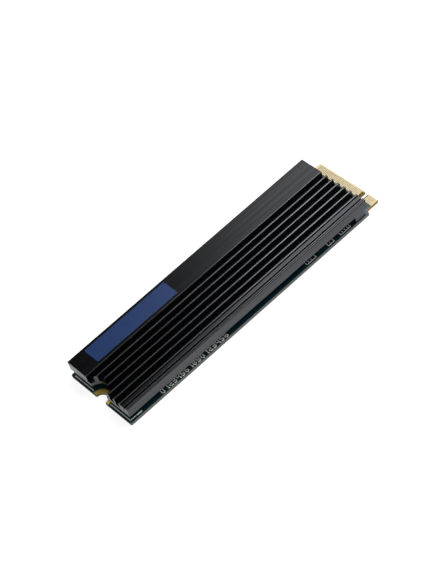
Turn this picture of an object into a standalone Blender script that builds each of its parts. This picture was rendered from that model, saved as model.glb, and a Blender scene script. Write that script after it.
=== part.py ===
"""Gumstick solid state drive: a keyed circuit board, its chips, thermal pads, an extruded
finned heatsink with a screw pocket and two feet, and a label.

Metres, +Z up. The origin is on the surface that the drive lies on, under the middle of its
length and width. +Y runs from the mounting notch to the edge connector.
"""

import math

import bmesh
import bpy
from mathutils import Matrix, Vector

# Edge connector. Its pins are numbered from -X, odd ones on top and even ones below.
PIN_COUNT = 75
KEY_PINS = range(59, 67)
FINGER_PITCH = 0.0005
FINGER_WIDTH = 0.00035
FINGER_LENGTH = 0.0020
FINGER_SETBACK = 0.00025
COPPER_THICKNESS = 0.00004
KEY_WIDTH = 0.0012
KEY_DEPTH = 0.0035
TONGUE_LENGTH = 0.0040
TONGUE_SIDE_MARGIN = 0.0005
TIP_CHAMFER = 0.00015

# Circuit board
BOARD_LENGTH = 0.0800
BOARD_THICKNESS = 0.0008
SHOULDER_STEP = 0.001075
BOARD_CORNER = 0.0003
TONGUE_CORNER = 0.0002
ROOT_FILLET = 0.0003
MOUNT_RADIUS = 0.00175
MOUNT_PAD_WIDTH = 0.0010
MOUNT_PAD_INSET = 0.0001

# What lies between the board and the heatsink, from the board upwards
SEAT_GAP = 0.0001
BALL_HEIGHT = 0.0002
PACKAGE_HEIGHT = 0.00085
THERMAL_PAD_THICKNESS = 0.0005

# Heatsink extrusion
HEATSINK_SIDE_INSET = 0.00015
HEATSINK_NEAR_INSET = 0.0005
HEATSINK_SHOULDER_GAP = 0.0001
HEATSINK_HEIGHT = 0.00285
FIN_COUNT = 6
FIN_THICKNESS = 0.0006
FIN_HEIGHT = 0.0019
FIN_EDGE = 0.0002
CHANNEL_WIDTH = 0.001465
RAIL_WIDTH = 0.00103
RAIL_DROP = 0.00035
RAIL_FILLET = 0.00022
GROOVE_WIDTH = 0.0006
GROOVE_DEPTH = 0.0010
LIP_THICKNESS = 0.00044
LEDGE_WIDTH = 0.00033
LEDGE_DROP = 0.0004
EXTRUSION_EDGE = 0.00015
POCKET_CLEARANCE = 0.0002
SKIRT_THICKNESS = 0.0009
FOOT_GAP = 0.0003
FOOT_LENGTH = 0.00265
FOOT_INSET = 0.00135

# Label on the heatsink's solid side
LABEL_MARGIN = 0.0009
LABEL_LENGTH = 0.0249
LABEL_START = 0.0045
LABEL_THICKNESS = 0.0001
LABEL_CORNER = 0.0003

# Ball grid packages
BALL_RADIUS = 0.00022
BALL_OVERLAP = 0.00005
BALL_SIDES = 6
PACKAGE_EDGE = 0.00008
FLASH_WIDTH = 0.0115
FLASH_LENGTH = 0.0135
FLASH_PITCH = 0.0010
FLASH_SPACING = 0.0015
CACHE_WIDTH = 0.0075
CACHE_LENGTH = 0.0110
CACHE_SPACING = 0.0015
CONTROLLER_SIDE = 0.0120
FINE_PITCH = 0.0008
PACKAGE_MARGIN = 0.0009
THERMAL_PAD_INSET = 0.0003

# Where the two groups of parts start
NEAR_KEEPOUT = 0.0055
SHOULDER_KEEPOUT = 0.0035
SIDE_KEEPOUT = 0.0015

# Small parts: length, width and height
HOLDUP_LENGTH, HOLDUP_WIDTH, HOLDUP_HEIGHT = 0.0035, 0.0028, 0.0012
HOLDUP_SPACING = 0.0006
HOLDUP_COLUMNS, HOLDUP_ROWS = 2, 3
INDUCTOR_LENGTH, INDUCTOR_WIDTH, INDUCTOR_HEIGHT = 0.0025, 0.0020, 0.0012
INDUCTOR_SPACING = 0.0008
CERAMIC_LENGTH, CERAMIC_WIDTH, CERAMIC_HEIGHT = 0.0016, 0.0008, 0.0008
RESISTOR_LENGTH, RESISTOR_WIDTH, RESISTOR_HEIGHT = 0.0010, 0.0005, 0.00035
CHIP_SPACING = 0.0008
TERMINAL_STEP = 0.00004
POWER_SIDE, POWER_HEIGHT = 0.0040, 0.0008
SWITCH_SIDE = 0.0025
FIRMWARE_LENGTH, FIRMWARE_WIDTH, FIRMWARE_HEIGHT = 0.0030, 0.0020, 0.0006
SENSOR_SIDE, SENSOR_HEIGHT = 0.0015, 0.0005
CRYSTAL_LENGTH, CRYSTAL_WIDTH, CRYSTAL_HEIGHT = 0.0025, 0.0020, 0.0006
LEAD_PITCH, LEAD_WIDTH, LEAD_HEIGHT, LEAD_REACH = 0.0005, 0.00025, 0.0002, 0.00005
LEAD_DEPTH = 0.0003

# Worked out from the above
TONGUE_WIDTH = (PIN_COUNT - 1) * FINGER_PITCH / 2 + FINGER_WIDTH + 2 * TONGUE_SIDE_MARGIN
BOARD_WIDTH = TONGUE_WIDTH + 2 * SHOULDER_STEP
NEAR_Y = -BOARD_LENGTH / 2
TIP_Y = BOARD_LENGTH / 2
SHOULDER_Y = TIP_Y - TONGUE_LENGTH
BOARD_BOTTOM = COPPER_THICKNESS
BOARD_TOP = BOARD_BOTTOM + BOARD_THICKNESS
PART_BASE = BOARD_TOP + SEAT_GAP
PACKAGE_BASE = PART_BASE + BALL_HEIGHT
PACKAGE_TOP = PACKAGE_BASE + PACKAGE_HEIGHT
THERMAL_PAD_BASE = PACKAGE_TOP + SEAT_GAP
HEATSINK_BASE = THERMAL_PAD_BASE + THERMAL_PAD_THICKNESS + SEAT_GAP
HEATSINK_TOP = HEATSINK_BASE + HEATSINK_HEIGHT
HEATSINK_HALF = BOARD_WIDTH / 2 - HEATSINK_SIDE_INSET
HEATSINK_NEAR_Y = NEAR_Y + HEATSINK_NEAR_INSET
HEATSINK_FAR_Y = SHOULDER_Y - HEATSINK_SHOULDER_GAP
LIP_RIGHT = HEATSINK_HALF - LEDGE_WIDTH
LIP_LEFT = LIP_RIGHT - LIP_THICKNESS
RAIL_RIGHT = LIP_LEFT - GROOVE_WIDTH
FINS_RIGHT = RAIL_RIGHT - RAIL_WIDTH
BLOCK_RIGHT = FINS_RIGHT - FIN_COUNT * (FIN_THICKNESS + CHANNEL_WIDTH)
MOUNT_PAD_RADIUS = MOUNT_RADIUS + MOUNT_PAD_WIDTH
POCKET_RADIUS = MOUNT_PAD_RADIUS + POCKET_CLEARANCE
FOOT_FAR_Y = HEATSINK_FAR_Y - FOOT_INSET
FOOT_NEAR_Y = FOOT_FAR_Y - FOOT_LENGTH
PARTS_LEFT = -BOARD_WIDTH / 2 + PACKAGE_MARGIN
FLASH_X = PARTS_LEFT + FLASH_WIDTH / 2
FLASH_START_Y = NEAR_Y + NEAR_KEEPOUT
FLASH_STEP = FLASH_LENGTH + FLASH_SPACING
CONTROLLER_X = PARTS_LEFT + SIDE_KEEPOUT + CONTROLLER_SIDE / 2
CONTROLLER_Y = SHOULDER_Y - SHOULDER_KEEPOUT - CONTROLLER_SIDE / 2
CACHE_X = PARTS_LEFT + CACHE_WIDTH / 2
CACHE_Y = CONTROLLER_Y - CONTROLLER_SIDE / 2 - CACHE_SPACING - CACHE_LENGTH / 2
RIGHT_STRIP = BOARD_WIDTH / 2 - SIDE_KEEPOUT

# Mesh making
WELD_DISTANCE = 0.000001
ARC_STEPS = 5
ROUND_SIDES = 48
CUTTER_MARGIN = 0.0010
SMOOTH_ANGLE = math.radians(30)


def clear_scene():
    for old in list(bpy.data.objects):
        bpy.data.objects.remove(old, do_unlink=True)


def new_collection(name):
    collection = bpy.data.collections.new(name)
    bpy.context.scene.collection.children.link(collection)
    return collection


def linear(hex_colour):
    """An sRGB hex colour as linear red, green, blue and alpha."""
    channels = [int(hex_colour[i : i + 2], 16) / 255 for i in (0, 2, 4)]
    return [c / 12.92 if c <= 0.04045 else ((c + 0.055) / 1.055) ** 2.4 for c in channels] + [1]


def principled(name, hex_colour, roughness, metallic=0.0):
    material = bpy.data.materials.new(name)
    material.use_nodes = True
    shader = material.node_tree.nodes["Principled BSDF"]
    shader.inputs["Base Color"].default_value = linear(hex_colour)
    shader.inputs["Roughness"].default_value = roughness
    shader.inputs["Metallic"].default_value = metallic
    return material


def solder_mask():
    return principled("solder_mask", "0c1a1e", 0.35)


def black_anodised():
    return principled("black_anodised_aluminium", "1c1c1e", 0.38)


def label_film():
    return principled("blue_label_film", "1f3d7a", 0.45)


def thermal_silicone():
    return principled("thermal_silicone", "8b95a0", 0.8)


def mould_compound():
    return principled("mould_compound", "1a1a1b", 0.6)


def ferrite():
    return principled("ferrite", "3c3a38", 0.7)


def barium_titanate():
    return principled("barium_titanate", "a5875f", 0.5)


def resistor_glaze():
    return principled("resistor_glaze", "17181a", 0.35)


def tantalum_moulding():
    return principled("tantalum_moulding", "26262a", 0.55)


def nickel_lid():
    return principled("nickel_lid", "b9b6ae", 0.3, 1.0)


def arc(centre, radius, start, end, steps=ARC_STEPS):
    """Points along a round corner, between two angles in degrees."""
    angles = [math.radians(start + (end - start) * i / steps) for i in range(steps + 1)]
    return [(centre[0] + radius * math.cos(a), centre[1] + radius * math.sin(a)) for a in angles]


def flat_outline(name, points, thickness, collection):
    """A filled 2D curve through the points, extruded to the thickness about z = 0."""
    data = bpy.data.curves.new(name, "CURVE")
    data.dimensions = "2D"
    data.fill_mode = "BOTH"
    data.extrude = thickness / 2
    spline = data.splines.new("POLY")
    spline.points.add(len(points) - 1)
    for point, (x, y) in zip(spline.points, points):
        point.co = (x, y, 0, 1)
    spline.use_cyclic_u = True
    outline = bpy.data.objects.new(name, data)
    collection.objects.link(outline)
    return outline


def cleaned(mesh, shade_round):
    """Welds a mesh's loose caps, turns its faces outwards and shades its round sides smooth."""
    bm = bmesh.new()
    bm.from_mesh(mesh)
    bmesh.ops.remove_doubles(bm, verts=bm.verts, dist=WELD_DISTANCE)
    bmesh.ops.recalc_face_normals(bm, faces=bm.faces)
    bm.to_mesh(mesh)
    bm.free()
    if shade_round:
        mesh.shade_smooth()
        mesh.set_sharp_from_angle(angle=SMOOTH_ANGLE)
    return mesh


def as_mesh(outline, collection, shade_round=False):
    """The curve object made a closed mesh object of the same name and place."""
    bpy.context.view_layer.update()
    graph = bpy.context.evaluated_depsgraph_get()
    mesh = bpy.data.meshes.new_from_object(outline.evaluated_get(graph))
    name, place = outline.name, outline.matrix_world.copy()
    bpy.data.objects.remove(outline, do_unlink=True)
    solid = bpy.data.objects.new(name, cleaned(mesh, shade_round))
    solid.matrix_world = place
    collection.objects.link(solid)
    return solid


def section_along_y(name, section, start, end, collection, shade_round=False):
    """A section of (x, z) points extruded between two places along y."""
    outline = flat_outline(name, section, end - start, collection)
    outline.rotation_euler.x = math.radians(90)
    outline.location.y = (start + end) / 2
    return as_mesh(outline, collection, shade_round)


def plate(name, points, bottom, thickness, collection):
    """An outline of (x, y) points with its underside at the height given."""
    outline = flat_outline(name, points, thickness, collection)
    outline.location.z = bottom + thickness / 2
    return as_mesh(outline, collection)


def rounded_rectangle(left, right, near, far, radius):
    return (
        arc((left + radius, near + radius), radius, 180, 270)
        + arc((right - radius, near + radius), radius, 270, 360)
        + arc((right - radius, far - radius), radius, 0, 90)
        + arc((left + radius, far - radius), radius, 90, 180)
    )


def mesh_object(name, bm, collection):
    mesh = bpy.data.meshes.new(name)
    bm.to_mesh(mesh)
    bm.free()
    solid = bpy.data.objects.new(name, mesh)
    collection.objects.link(solid)
    return solid


def add_box(bm, low, high):
    low, high = Vector(low), Vector(high)
    place = Matrix.Translation((low + high) / 2) @ Matrix.Diagonal((*(high - low), 1))
    return bmesh.ops.create_cube(bm, size=1, matrix=place)["verts"]


def boxes(name, corners, collection):
    """One mesh of separate boxes, each from its lowest to its highest corner."""
    bm = bmesh.new()
    for low, high in corners:
        add_box(bm, low, high)
    return mesh_object(name, bm, collection)


def eased_block(name, low, high, edge, collection):
    """A box with all its edges chamfered."""
    bm = bmesh.new()
    add_box(bm, low, high)
    bmesh.ops.bevel(
        bm, geom=bm.edges[:], offset=edge, offset_type="OFFSET", segments=1, profile=0.5, affect="EDGES"
    )
    return mesh_object(name, bm, collection)


def cylinder(name, centre, radius, bottom, top, collection):
    bm = bmesh.new()
    place = Matrix.Translation((*centre, (bottom + top) / 2))
    bmesh.ops.create_cone(
        bm,
        cap_ends=True,
        segments=ROUND_SIDES,
        radius1=radius,
        radius2=radius,
        depth=top - bottom,
        matrix=place,
    )
    return mesh_object(name, bm, collection)


def as_tool(solid):
    """Hides a cutter, or a piece that is joined to another, from the render."""
    solid.hide_render = True
    solid.display_type = "WIRE"
    return solid


def combine(solid, tool, operation):
    modifier = solid.modifiers.new(tool.name, "BOOLEAN")
    modifier.operation = operation
    modifier.solver = "EXACT"
    modifier.object = as_tool(tool)


def paint(solid, material):
    solid.data.materials.clear()
    solid.data.materials.append(material)
    return solid


def pin_x(pin):
    return (pin - (PIN_COUNT + 1) / 2) * FINGER_PITCH / 2


def board_outline():
    half, tongue = BOARD_WIDTH / 2, TONGUE_WIDTH / 2
    key_x = (pin_x(KEY_PINS[0]) + pin_x(KEY_PINS[-1])) / 2
    key_half = KEY_WIDTH / 2
    key_end = (key_x, TIP_Y - KEY_DEPTH + key_half)
    corner, tip, root = BOARD_CORNER, TONGUE_CORNER, ROOT_FILLET
    return (
        arc((-half + corner, NEAR_Y + corner), corner, 180, 270)
        + arc((half - corner, NEAR_Y + corner), corner, 270, 360)
        + arc((half - corner, SHOULDER_Y - corner), corner, 0, 90)
        + arc((tongue + root, SHOULDER_Y + root), root, 270, 180)
        + arc((tongue - tip, TIP_Y - tip), tip, 0, 90)
        + [(key_x + key_half, TIP_Y)]
        + arc(key_end, key_half, 0, -180, 2 * ARC_STEPS)
        + [(key_x - key_half, TIP_Y)]
        + arc((-tongue + tip, TIP_Y - tip), tip, 90, 180)
        + arc((-tongue - root, SHOULDER_Y + root), root, 360, 270)
        + arc((-half + corner, SHOULDER_Y - corner), corner, 90, 180)
    )


def chamfer_tip(board):
    """Chamfers the tongue's leading edges, top and bottom, so that it enters its socket."""
    bm = bmesh.new()
    bm.from_mesh(board.data)
    leading = [
        edge
        for edge in bm.edges
        if all(abs(v.co.y - TIP_Y) < WELD_DISTANCE for v in edge.verts)
        and abs(edge.verts[0].co.z - edge.verts[1].co.z) < WELD_DISTANCE
    ]
    bmesh.ops.bevel(
        bm,
        geom=leading,
        offset=TIP_CHAMFER,
        offset_type="OFFSET",
        segments=1,
        profile=0.5,
        affect="EDGES",
    )
    bm.to_mesh(board.data)
    bm.free()


def finger_boxes():
    """Each gold finger as a box that reaches a little way into the board."""
    far = TIP_Y - FINGER_SETBACK
    near = far - FINGER_LENGTH
    root = BOARD_THICKNESS / 4
    fingers = []
    for pin in range(1, PIN_COUNT + 1):
        if pin in KEY_PINS:
            continue
        left, right = pin_x(pin) - FINGER_WIDTH / 2, pin_x(pin) + FINGER_WIDTH / 2
        if pin % 2:
            low, high = BOARD_TOP - root, BOARD_TOP + COPPER_THICKNESS
        else:
            low, high = BOARD_BOTTOM - COPPER_THICKNESS, BOARD_BOTTOM + root
        fingers.append(((left, near, low), (right, far, high)))
    return fingers


def circuit_board(parts, tools):
    """The keyed board, with its gold fingers and the plated half-round mounting notch."""
    board = plate("circuit_board", board_outline(), BOARD_BOTTOM, BOARD_THICKNESS, parts)
    board.data.transform(board.matrix_world)
    board.matrix_world = Matrix.Identity(4)
    chamfer_tip(board)
    combine(board, boxes("gold_fingers", finger_boxes(), tools), "UNION")
    pad_edge = arc((0, NEAR_Y + MOUNT_PAD_INSET), MOUNT_PAD_RADIUS, 0, 180, ROUND_SIDES // 2)
    pad_thickness = BOARD_THICKNESS + 2 * COPPER_THICKNESS
    pad_bottom = BOARD_BOTTOM - COPPER_THICKNESS
    combine(board, plate("mount_pad", pad_edge, pad_bottom, pad_thickness, tools), "UNION")
    notch_low, notch_high = pad_bottom - CUTTER_MARGIN, BOARD_TOP + CUTTER_MARGIN
    notch = cylinder("mount_notch", (0, NEAR_Y), MOUNT_RADIUS, notch_low, notch_high, tools)
    combine(board, notch, "DIFFERENCE")
    paint(board, solder_mask())


def rounded_top(left, right, top, radius):
    """The top of a fin or rib, from its right side over to its left."""
    centre = top - radius
    return arc((right - radius, centre), radius, 0, 90) + arc((left + radius, centre), radius, 90, 180)


def heatsink_section():
    """The extrusion's section, anticlockwise: skirts, ledge, lip, groove, rail, fins and block."""
    left, right, top = -HEATSINK_HALF, HEATSINK_HALF, HEATSINK_TOP
    foot = BOARD_TOP + FOOT_GAP
    rail_top, ledge_top = top - RAIL_DROP, top - LEDGE_DROP
    floor, groove_floor = top - FIN_HEIGHT, top - GROOVE_DEPTH
    points = [
        (left, foot),
        (left + SKIRT_THICKNESS, foot),
        (left + SKIRT_THICKNESS, HEATSINK_BASE),
        (right - SKIRT_THICKNESS, HEATSINK_BASE),
        (right - SKIRT_THICKNESS, foot),
        (right, foot),
        (right, ledge_top - EXTRUSION_EDGE),
        (right - EXTRUSION_EDGE, ledge_top),
        (LIP_RIGHT, ledge_top),
    ]
    points += rounded_top(LIP_LEFT, LIP_RIGHT, top, EXTRUSION_EDGE)
    points += [(LIP_LEFT, groove_floor), (RAIL_RIGHT, groove_floor), (RAIL_RIGHT, rail_top)]
    points += arc((FINS_RIGHT + RAIL_FILLET, rail_top + RAIL_FILLET), RAIL_FILLET, 270, 180)[:-1]
    for fin in range(FIN_COUNT):
        fin_right = FINS_RIGHT - fin * (FIN_THICKNESS + CHANNEL_WIDTH)
        fin_left = fin_right - FIN_THICKNESS
        points += rounded_top(fin_left, fin_right, top, FIN_EDGE)
        points += [(fin_left, floor), (fin_left - CHANNEL_WIDTH, floor)]
    return points + rounded_top(left, BLOCK_RIGHT, top, EXTRUSION_EDGE)


def skirt_cuts():
    """Boxes that mill both skirts away, apart from one foot a side near the connector."""
    spans = (
        (HEATSINK_NEAR_Y - CUTTER_MARGIN, FOOT_NEAR_Y),
        (FOOT_FAR_Y, HEATSINK_FAR_Y + CUTTER_MARGIN),
    )
    low, high = BOARD_BOTTOM, HEATSINK_BASE
    inner = HEATSINK_HALF - SKIRT_THICKNESS - CUTTER_MARGIN
    outer = HEATSINK_HALF + CUTTER_MARGIN
    cuts = []
    for near, far in spans:
        cuts.append(((-outer, near, low), (-inner, far, high)))
        cuts.append(((inner, near, low), (outer, far, high)))
    return cuts


def heatsink(parts, tools):
    """The finned extrusion, pocketed round the mounting notch and standing on two feet."""
    sink = section_along_y(
        "heatsink", heatsink_section(), HEATSINK_NEAR_Y, HEATSINK_FAR_Y, parts, shade_round=True
    )
    combine(sink, boxes("skirt_cuts", skirt_cuts(), tools), "DIFFERENCE")
    pocket_low, pocket_high = BOARD_BOTTOM, HEATSINK_TOP + CUTTER_MARGIN
    pocket = cylinder("screw_pocket", (0, NEAR_Y), POCKET_RADIUS, pocket_low, pocket_high, tools)
    combine(sink, pocket, "DIFFERENCE")
    paint(sink, black_anodised())


def heatsink_label(parts):
    near = HEATSINK_NEAR_Y + LABEL_START
    left, right = -HEATSINK_HALF + LABEL_MARGIN, BLOCK_RIGHT - LABEL_MARGIN
    outline = rounded_rectangle(left, right, near, near + LABEL_LENGTH, LABEL_CORNER)
    label = plate("heatsink_label", outline, HEATSINK_TOP + SEAT_GAP, LABEL_THICKNESS, parts)
    paint(label, label_film())


def add_balls(bm, width, length, pitch):
    """The outer ring of a package's solder balls, as short prisms that reach into its body."""
    across = int((width - 2 * pitch) / pitch) + 1
    along = int((length - 2 * pitch) / pitch) + 1
    height = BALL_HEIGHT + BALL_OVERLAP
    for i in range(across):
        for j in range(along):
            if 0 < i < across - 1 and 0 < j < along - 1:
                continue
            x, y = (i - (across - 1) / 2) * pitch, (j - (along - 1) / 2) * pitch
            bmesh.ops.create_cone(
                bm,
                cap_ends=True,
                segments=BALL_SIDES,
                radius1=BALL_RADIUS,
                radius2=BALL_RADIUS,
                depth=height,
                matrix=Matrix.Translation((x, y, PART_BASE + height / 2)),
            )


def ball_package(name, centre, width, length, pitch, parts, tools):
    """A moulded package on solder balls."""
    low = (-width / 2, -length / 2, PACKAGE_BASE)
    high = (width / 2, length / 2, PACKAGE_TOP)
    package = eased_block(name, low, high, PACKAGE_EDGE, parts)
    bm = bmesh.new()
    add_balls(bm, width, length, pitch)
    balls = mesh_object(name + "_balls", bm, tools)
    combine(package, balls, "UNION")
    for solid in (package, balls):
        solid.location = (*centre, 0)
    paint(package, mould_compound())


def flash_memories(parts, tools):
    for number in (1, 2):
        y = FLASH_START_Y + FLASH_LENGTH / 2 + (number - 1) * FLASH_STEP
        name = f"flash_memory_{number}"
        ball_package(name, (FLASH_X, y), FLASH_WIDTH, FLASH_LENGTH, FLASH_PITCH, parts, tools)


def controller(parts, tools):
    centre = (CONTROLLER_X, CONTROLLER_Y)
    ball_package("controller", centre, CONTROLLER_SIDE, CONTROLLER_SIDE, FINE_PITCH, parts, tools)


def cache_memory(parts, tools):
    centre = (CACHE_X, CACHE_Y)
    ball_package("cache_memory", centre, CACHE_WIDTH, CACHE_LENGTH, FINE_PITCH, parts, tools)


def thermal_pad(name, left, right, near, far, parts):
    """A soft pad that fills the space from the chips' tops to the heatsink."""
    inset = THERMAL_PAD_INSET
    low = (left + inset, near + inset, THERMAL_PAD_BASE)
    high = (right - inset, far - inset, THERMAL_PAD_BASE + THERMAL_PAD_THICKNESS)
    paint(eased_block(name, low, high, PACKAGE_EDGE, parts), thermal_silicone())


def thermal_pads(parts):
    half_flash, half_cache, half_controller = FLASH_WIDTH / 2, CACHE_WIDTH / 2, CONTROLLER_SIDE / 2
    flash_end = FLASH_START_Y + FLASH_STEP + FLASH_LENGTH
    thermal_pad(
        "thermal_pad_flash", FLASH_X - half_flash, FLASH_X + half_flash, FLASH_START_Y, flash_end, parts
    )
    thermal_pad(
        "thermal_pad_cache",
        CACHE_X - half_cache,
        CACHE_X + half_cache,
        CACHE_Y - CACHE_LENGTH / 2,
        CACHE_Y + CACHE_LENGTH / 2,
        parts,
    )
    thermal_pad(
        "thermal_pad_controller",
        CONTROLLER_X - half_controller,
        CONTROLLER_X + half_controller,
        CONTROLLER_Y - half_controller,
        CONTROLLER_Y + half_controller,
        parts,
    )


def end_cap_section(length, height, cap):
    """A chip capacitor's or resistor's side view: a body a little lower than its end caps."""
    end, inner, step = length / 2, length / 2 - cap, TERMINAL_STEP
    upper = [(end, height), (inner, height), (inner, height - step)]
    upper += [(-inner, height - step), (-inner, height), (-end, height)]
    lower = [(-end, 0), (-inner, 0), (-inner, step), (inner, step), (inner, 0), (end, 0)]
    return lower + upper


def copies(solid, name, places, turned, parts):
    """Objects that share the solid's mesh, one at each place, in the solid's stead."""
    mesh, turn = solid.data, solid.matrix_world.to_euler()
    bpy.data.objects.remove(solid, do_unlink=True)
    for number, (x, y) in enumerate(places, 1):
        copy = bpy.data.objects.new(f"{name}_{number}", mesh)
        copy.rotation_euler = turn
        if turned:
            copy.rotation_euler.z += math.radians(90)
        copy.location = (x, y, PART_BASE)
        parts.objects.link(copy)


def grid(left, near, columns, rows, step_x, step_y):
    return [(left + i * step_x, near + j * step_y) for j in range(rows) for i in range(columns)]


def ceramic_capacitors(parts):
    """Decoupling capacitors: a bank beside the power parts and a row beside the controller."""
    section = end_cap_section(CERAMIC_LENGTH, CERAMIC_HEIGHT, CERAMIC_LENGTH / 4)
    half = CERAMIC_WIDTH / 2
    chip = section_along_y("ceramic_capacitor", section, -half, half, parts)
    paint(chip, barium_titanate())
    step_x, step_y = CERAMIC_LENGTH + CHIP_SPACING, CERAMIC_WIDTH + CHIP_SPACING
    right = RIGHT_STRIP - CERAMIC_LENGTH / 2
    near_bank = grid(right - 2 * step_x, power_far_y() + step_y, 3, 2, step_x, step_y)
    far_y = CONTROLLER_Y - CONTROLLER_SIDE / 2 + CERAMIC_WIDTH / 2
    far_bank = grid(right - step_x, far_y, 2, 3, step_x, step_y)
    copies(chip, "ceramic_capacitor", near_bank + far_bank, False, parts)


def chip_resistors(parts):
    """Pull-up and termination resistors beside the cache."""
    section = end_cap_section(RESISTOR_LENGTH, RESISTOR_HEIGHT, RESISTOR_LENGTH / 4)
    half = RESISTOR_WIDTH / 2
    chip = section_along_y("chip_resistor", section, -half, half, parts)
    paint(chip, resistor_glaze())
    left = CACHE_X + CACHE_WIDTH / 2 + CHIP_SPACING + RESISTOR_WIDTH / 2
    near = CACHE_Y - CACHE_LENGTH / 2 + RESISTOR_LENGTH / 2
    step_x, step_y = RESISTOR_WIDTH + CHIP_SPACING, RESISTOR_LENGTH + CHIP_SPACING
    copies(chip, "chip_resistor", grid(left, near, 2, 4, step_x, step_y), True, parts)


def holdup_capacitors(parts):
    """Moulded polymer capacitors that carry the drive through a power cut."""
    half, height, draft = HOLDUP_LENGTH / 2, HOLDUP_HEIGHT, HOLDUP_HEIGHT / 12
    foot, tab = HOLDUP_LENGTH / 5, TERMINAL_STEP
    section = [
        (-half, 0),
        (-half + foot, 0),
        (-half + foot, tab),
        (half - foot, tab),
        (half - foot, 0),
        (half, 0),
        (half, height / 2),
        (half - draft, height),
        (-half + draft, height),
        (-half, height / 2),
    ]
    side = HOLDUP_WIDTH / 2
    body = section_along_y("holdup_capacitor", section, -side, side, parts)
    paint(body, tantalum_moulding())
    step_x, step_y = HOLDUP_WIDTH + HOLDUP_SPACING, HOLDUP_LENGTH + HOLDUP_SPACING
    left = RIGHT_STRIP - HOLDUP_WIDTH / 2 - (HOLDUP_COLUMNS - 1) * step_x
    near = FLASH_START_Y + HOLDUP_LENGTH / 2
    places = grid(left, near, HOLDUP_COLUMNS, HOLDUP_ROWS, step_x, step_y)
    copies(body, "holdup_capacitor", places, True, parts)


def holdup_far_y():
    return FLASH_START_Y + HOLDUP_ROWS * (HOLDUP_LENGTH + HOLDUP_SPACING)


def inductor_y():
    return holdup_far_y() + INDUCTOR_SPACING + POWER_SIDE + INDUCTOR_SPACING + INDUCTOR_LENGTH / 2


def power_far_y():
    return inductor_y() + INDUCTOR_LENGTH / 2


def power_inductors(parts):
    """Ferrite chokes with a terminal at each end, for the three supply rails."""
    section = end_cap_section(INDUCTOR_LENGTH, INDUCTOR_HEIGHT, INDUCTOR_LENGTH / 4)
    half = INDUCTOR_WIDTH / 2
    choke = section_along_y("power_inductor", section, -half, half, parts)
    paint(choke, ferrite())
    step = INDUCTOR_WIDTH + CHIP_SPACING / 2
    left = RIGHT_STRIP - half - 2 * step
    copies(choke, "power_inductor", grid(left, inductor_y(), 3, 1, step, 0), True, parts)


def lead_boxes(size_x, size_y):
    """The leads round a flat package, each reaching a little past its side."""
    leads = []
    for along, across, turned in ((size_x, size_y, False), (size_y, size_x, True)):
        count = int((along - 2 * LEAD_PITCH) / LEAD_PITCH) + 1
        for i in range(count):
            start = (i - (count - 1) / 2) * LEAD_PITCH - LEAD_WIDTH / 2
            for side in (-1, 1):
                outer = side * (across / 2 + LEAD_REACH)
                inner = side * (across / 2 - LEAD_DEPTH)
                low = (start, min(inner, outer), PART_BASE)
                high = (start + LEAD_WIDTH, max(inner, outer), PART_BASE + LEAD_HEIGHT)
                if turned:
                    low, high = (low[1], low[0], low[2]), (high[1], high[0], high[2])
                leads.append((low, high))
    return leads


def leaded_package(name, centre, size_x, size_y, height, parts, tools):
    """A flat moulded package, clear of the board on leads that show round its foot."""
    body_base = PART_BASE + LEAD_HEIGHT / 2
    low, high = (-size_x / 2, -size_y / 2, body_base), (size_x / 2, size_y / 2, PART_BASE + height)
    package = eased_block(name, low, high, PACKAGE_EDGE, parts)
    leads = boxes(name + "_leads", lead_boxes(size_x, size_y), tools)
    combine(package, leads, "UNION")
    for solid in (package, leads):
        solid.location = (*centre, 0)
    paint(package, mould_compound())


def power_parts(parts, tools):
    """The power manager and the switch that isolates the hold-up capacitors."""
    y = holdup_far_y() + INDUCTOR_SPACING + POWER_SIDE / 2
    power_x = RIGHT_STRIP - POWER_SIDE / 2
    leaded_package("power_manager", (power_x, y), POWER_SIDE, POWER_SIDE, POWER_HEIGHT, parts, tools)
    switch_x = power_x - POWER_SIDE / 2 - CHIP_SPACING - SWITCH_SIDE / 2
    leaded_package("load_switch", (switch_x, y), SWITCH_SIDE, SWITCH_SIDE, POWER_HEIGHT, parts, tools)


def controller_companions(parts, tools):
    """The firmware memory, the temperature sensor and the clock crystal, in line by the controller."""
    x = RIGHT_STRIP - FIRMWARE_LENGTH / 2
    y = CONTROLLER_Y + CONTROLLER_SIDE / 2 - FIRMWARE_WIDTH / 2
    size = (FIRMWARE_LENGTH, FIRMWARE_WIDTH, FIRMWARE_HEIGHT)
    leaded_package("firmware_memory", (x, y), *size, parts, tools)
    y -= FIRMWARE_WIDTH / 2 + CHIP_SPACING + SENSOR_SIDE / 2
    size = (SENSOR_SIDE, SENSOR_SIDE, SENSOR_HEIGHT)
    leaded_package("temperature_sensor", (x, y), *size, parts, tools)
    clock_crystal((x, CACHE_Y + CACHE_LENGTH / 2 - CRYSTAL_WIDTH / 2), parts, tools)


def clock_crystal(centre, parts, tools):
    """A ceramic base with a seam-welded metal lid a step smaller."""
    x, y = centre
    half_x, half_y = CRYSTAL_LENGTH / 2, CRYSTAL_WIDTH / 2
    middle = PART_BASE + CRYSTAL_HEIGHT / 2
    step = CRYSTAL_HEIGHT / 4
    low, high = (x - half_x, y - half_y, PART_BASE), (x + half_x, y + half_y, middle + BALL_OVERLAP)
    base = boxes("clock_crystal", [(low, high)], parts)
    outline = rounded_rectangle(
        x - half_x + step, x + half_x - step, y - half_y + step, y + half_y - step, step
    )
    lid = plate("crystal_lid", outline, middle, CRYSTAL_HEIGHT / 2, tools)
    combine(base, lid, "UNION")
    paint(base, nickel_lid())


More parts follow.
